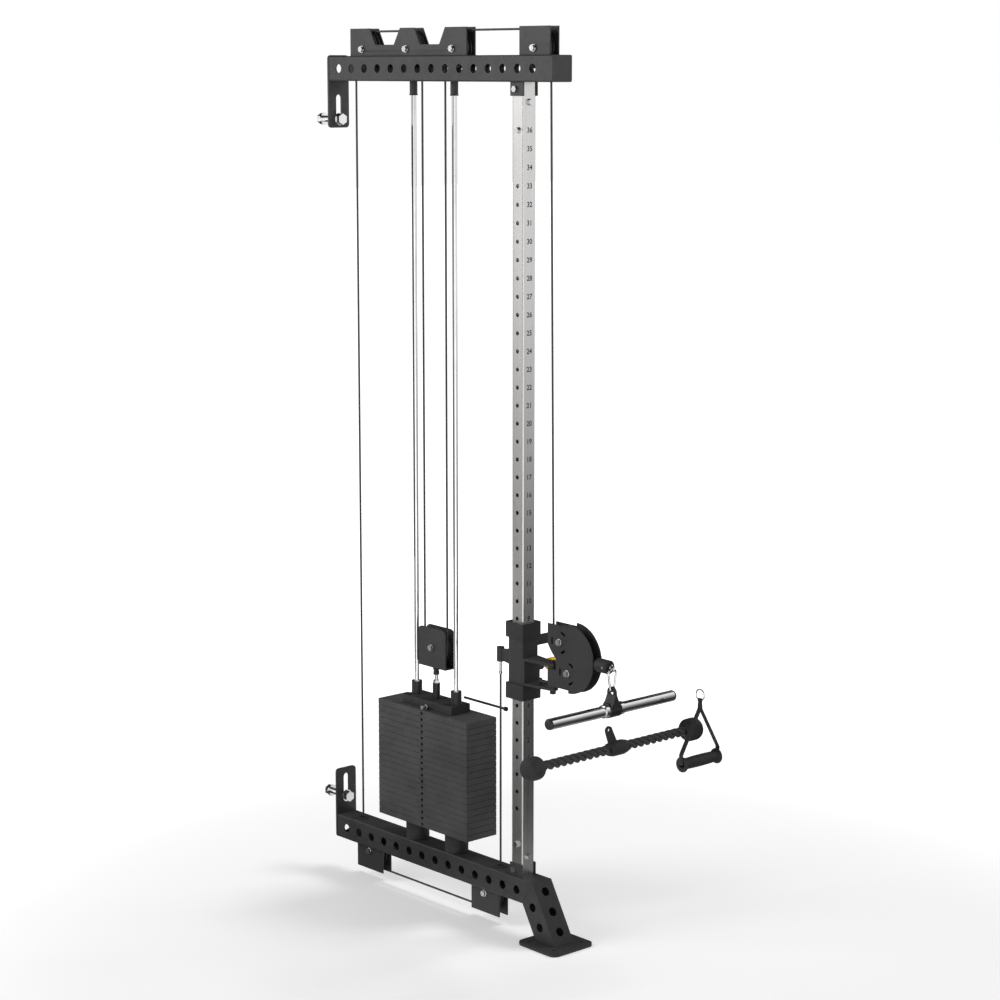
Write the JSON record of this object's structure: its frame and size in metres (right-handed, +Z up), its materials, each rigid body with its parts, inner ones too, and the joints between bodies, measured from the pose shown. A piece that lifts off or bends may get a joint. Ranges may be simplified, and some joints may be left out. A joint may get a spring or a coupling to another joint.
{
  "type": "single cable pulley machine",
  "caption": "Rack-mounted single cable pulley machine: weight stack on guide rods, cable over bracketed pulleys, adjustable trolley with swivel pulley head, pull bar, rope and strap handle",
  "frame": {"origin": "Centre of the foot pad's underside, on the floor", "axes": "+Z up, +X from the rack toward the front foot and the handle, +Y to the side of the yellow knob"},
  "size_m": [1.1495, 0.5769, 2.1346],
  "materials": {
    "frame_paint": "fine matt black powder coat",
    "stainless": "brushed stainless",
    "chrome": "polished chrome",
    "zinc": "bright zinc plating",
    "nylon": "black nylon",
    "rubber": "black rubber",
    "cable": "black plastic jacket over wire rope",
    "plate_iron": "matt black painted plates",
    "black_steel": "black oxide",
    "yellow": "yellow plastic",
    "rope_fibre": "twisted black fibre",
    "webbing": "woven black webbing"
  },
  "bodies": {
    "frame": {"base_beam": "frame_paint", "front_leg": "frame_paint", "foot_plate": "frame_paint", "foot_pad": "rubber", "top_beam": "frame_paint", "rack_plates": "frame_paint", "rack_bolts": "chrome", "upper_brackets": "frame_paint", "lower_brackets": "frame_paint", "frame_bolts": "zinc", "upright": "stainless", "frame_bushes": "nylon", "guide_rods": "chrome", "stack_bumpers": "rubber", "weight_plates": "plate_iron", "selector_pin": "black_steel", "cable_frame": "cable", "cable_block_runs": "cable", "cable_front_drop": "cable", "cable_anchor": "cable", "pull_rope": "rope_fibre", "rope_fittings": "rubber", "grip_ring": "chrome", "grip_strap": "webbing"},
    "wheel_top_rear": {"pulley_top_rear": "nylon"},
    "wheel_top_middle": {"pulley_top_middle": "nylon"},
    "wheel_top_return": {"pulley_top_return": "nylon"},
    "wheel_top_front": {"pulley_top_front": "nylon"},
    "wheel_base_rear": {"pulley_base_rear": "nylon"},
    "wheel_base_front": {"pulley_base_front": "nylon"},
    "stack_head": {"top_plate": "plate_iron", "head_block": "nylon", "selector_stem": "black_steel", "head_bolts": "zinc", "block_frame": "frame_paint", "cable_block_wrap": "cable"},
    "wheel_block": {"block_pulley": "nylon"},
    "trolley": {"trolley_body": "frame_paint", "trolley_collars": "nylon", "cable_ferrule": "zinc", "trolley_handle": "rubber", "yoke": "frame_paint", "yoke_bolts": "black_steel"},
    "plunger": {"pop_pin": "zinc", "pin_knob": "yellow"},
    "swivel": {"swivel_head": "frame_paint", "swivel_axles": "zinc", "cable_swivel": "cable"},
    "wheel_swivel_upper": {"pulley_swivel_upper": "nylon"},
    "wheel_swivel_lower": {"pulley_swivel_lower": "nylon"},
    "cable_end": {"cable_tail": "cable", "cable_stopper": "rubber", "handle_eye": "chrome"},
    "hook": {"carabiner": "chrome"},
    "gate": {"carabiner_gate": "chrome"},
    "bracket": {"bar_bracket": "black_steel"},
    "bar": {"pull_bar": "chrome", "bar_caps": "nylon"},
    "grip": {"strap_grip": "rubber"}
  },
  "joints": [
    {"name": "trolley_slide", "type": "slide", "parent": "frame", "child": "trolley", "axis": [0, 0, 1], "range_m": [-0.33472, 1.12968], "deforming": ["cable_front_drop", "cable_anchor"]},
    {"name": "stack_lift", "type": "slide", "parent": "frame", "child": "stack_head", "axis": [0, 0, 1], "range_m": [0, 1.25], "deforming": ["cable_block_runs"]},
    {"name": "top_rear_turn", "type": "hinge", "parent": "frame", "child": "wheel_top_rear", "pos_m": [-0.681, 0, 2.0853], "axis": [0, 1, 0], "continuous": true},
    {"name": "top_middle_turn", "type": "hinge", "parent": "frame", "child": "wheel_top_middle", "pos_m": [-0.515, 0, 2.0853], "axis": [0, 1, 0], "continuous": true},
    {"name": "top_return_turn", "type": "hinge", "parent": "frame", "child": "wheel_top_return", "pos_m": [-0.347, 0, 2.0853], "axis": [0, 1, 0], "continuous": true},
    {"name": "top_front_turn", "type": "hinge", "parent": "frame", "child": "wheel_top_front", "pos_m": [-0.0675, 0, 2.0853], "axis": [0, 1, 0], "continuous": true},
    {"name": "base_rear_turn", "type": "hinge", "parent": "frame", "child": "wheel_base_rear", "pos_m": [-0.681, 0, 0.071], "axis": [0, 1, 0], "continuous": true},
    {"name": "base_front_turn", "type": "hinge", "parent": "frame", "child": "wheel_base_front", "pos_m": [-0.2365, 0, 0.071], "axis": [0, 1, 0], "continuous": true},
    {"name": "block_turn", "type": "hinge", "parent": "stack_head", "child": "wheel_block", "pos_m": [-0.431, 0, 0.6465], "axis": [0, 1, 0], "continuous": true},
    {"name": "pop_pin", "type": "slide", "parent": "trolley", "child": "plunger", "axis": [0, 1, 0], "range_m": [-0.016, 0]},
    {"name": "swivel_turn", "type": "hinge", "parent": "trolley", "child": "swivel", "pos_m": [-0.012, 0, 0.6494], "axis": [0, 0, 1], "range_deg": [-90, 90]},
    {"name": "swivel_upper_turn", "type": "hinge", "parent": "swivel", "child": "wheel_swivel_upper", "pos_m": [0.02465, 0, 0.73922], "axis": [0, 1, 0], "continuous": true},
    {"name": "swivel_lower_turn", "type": "hinge", "parent": "swivel", "child": "wheel_swivel_lower", "pos_m": [0.05165, 0, 0.66992], "axis": [0, 1, 0], "continuous": true},
    {"name": "handle_pull", "type": "slide", "parent": "swivel", "child": "cable_end", "axis": [1, 0, 0], "range_m": [0, 2.5]},
    {"name": "hook_swing", "type": "hinge", "parent": "cable_end", "child": "hook", "pos_m": [0.1842, 0, 0.70232], "axis": [0, 1, 0], "range_deg": [-24, 24]},
    {"name": "gate_open", "type": "hinge", "parent": "hook", "child": "gate", "pos_m": [0.1842, 0.00682, 0.66142], "axis": [1, 0, 0], "range_deg": [0, 20], "stiffness_Nm_per_rad": 0.03},
    {"name": "bracket_swing", "type": "hinge", "parent": "hook", "child": "bracket", "pos_m": [0.1842, 0, 0.65092], "axis": [0, 1, 0], "range_deg": [-35, 35]},
    {"name": "bar_turn", "type": "hinge", "parent": "bracket", "child": "bar", "pos_m": [0.1842, 0, 0.60792], "axis": [0, 1, 0], "continuous": true},
    {"name": "grip_turn", "type": "hinge", "parent": "frame", "child": "grip", "pos_m": [0.2595, 0.2095, 0.4663], "axis": [0, 1, 0], "continuous": true}
  ],
  "couplings": [
    {"joint": "base_front_turn", "follows": "trolley_slide", "rad_per_m": -23.809},
    {"joint": "base_rear_turn", "follows": "trolley_slide", "rad_per_m": -23.809},
    {"joint": "top_rear_turn", "follows": "trolley_slide", "rad_per_m": -23.809},
    {"joint": "top_middle_turn", "follows": "trolley_slide", "rad_per_m": -23.809},
    {"joint": "top_return_turn", "follows": "stack_lift", "rad_per_m": 47.619},
    {"joint": "top_front_turn", "follows": "stack_lift", "rad_per_m": 47.619},
    {"joint": "block_turn", "follows": "stack_lift", "rad_per_m": -23.809},
    {"joint": "swivel_upper_turn", "follows": "stack_lift", "rad_per_m": -57.72},
    {"joint": "swivel_lower_turn", "follows": "stack_lift", "rad_per_m": 57.72},
    {"joint": "handle_pull", "follows": "stack_lift", "ratio": 2}
  ]
}
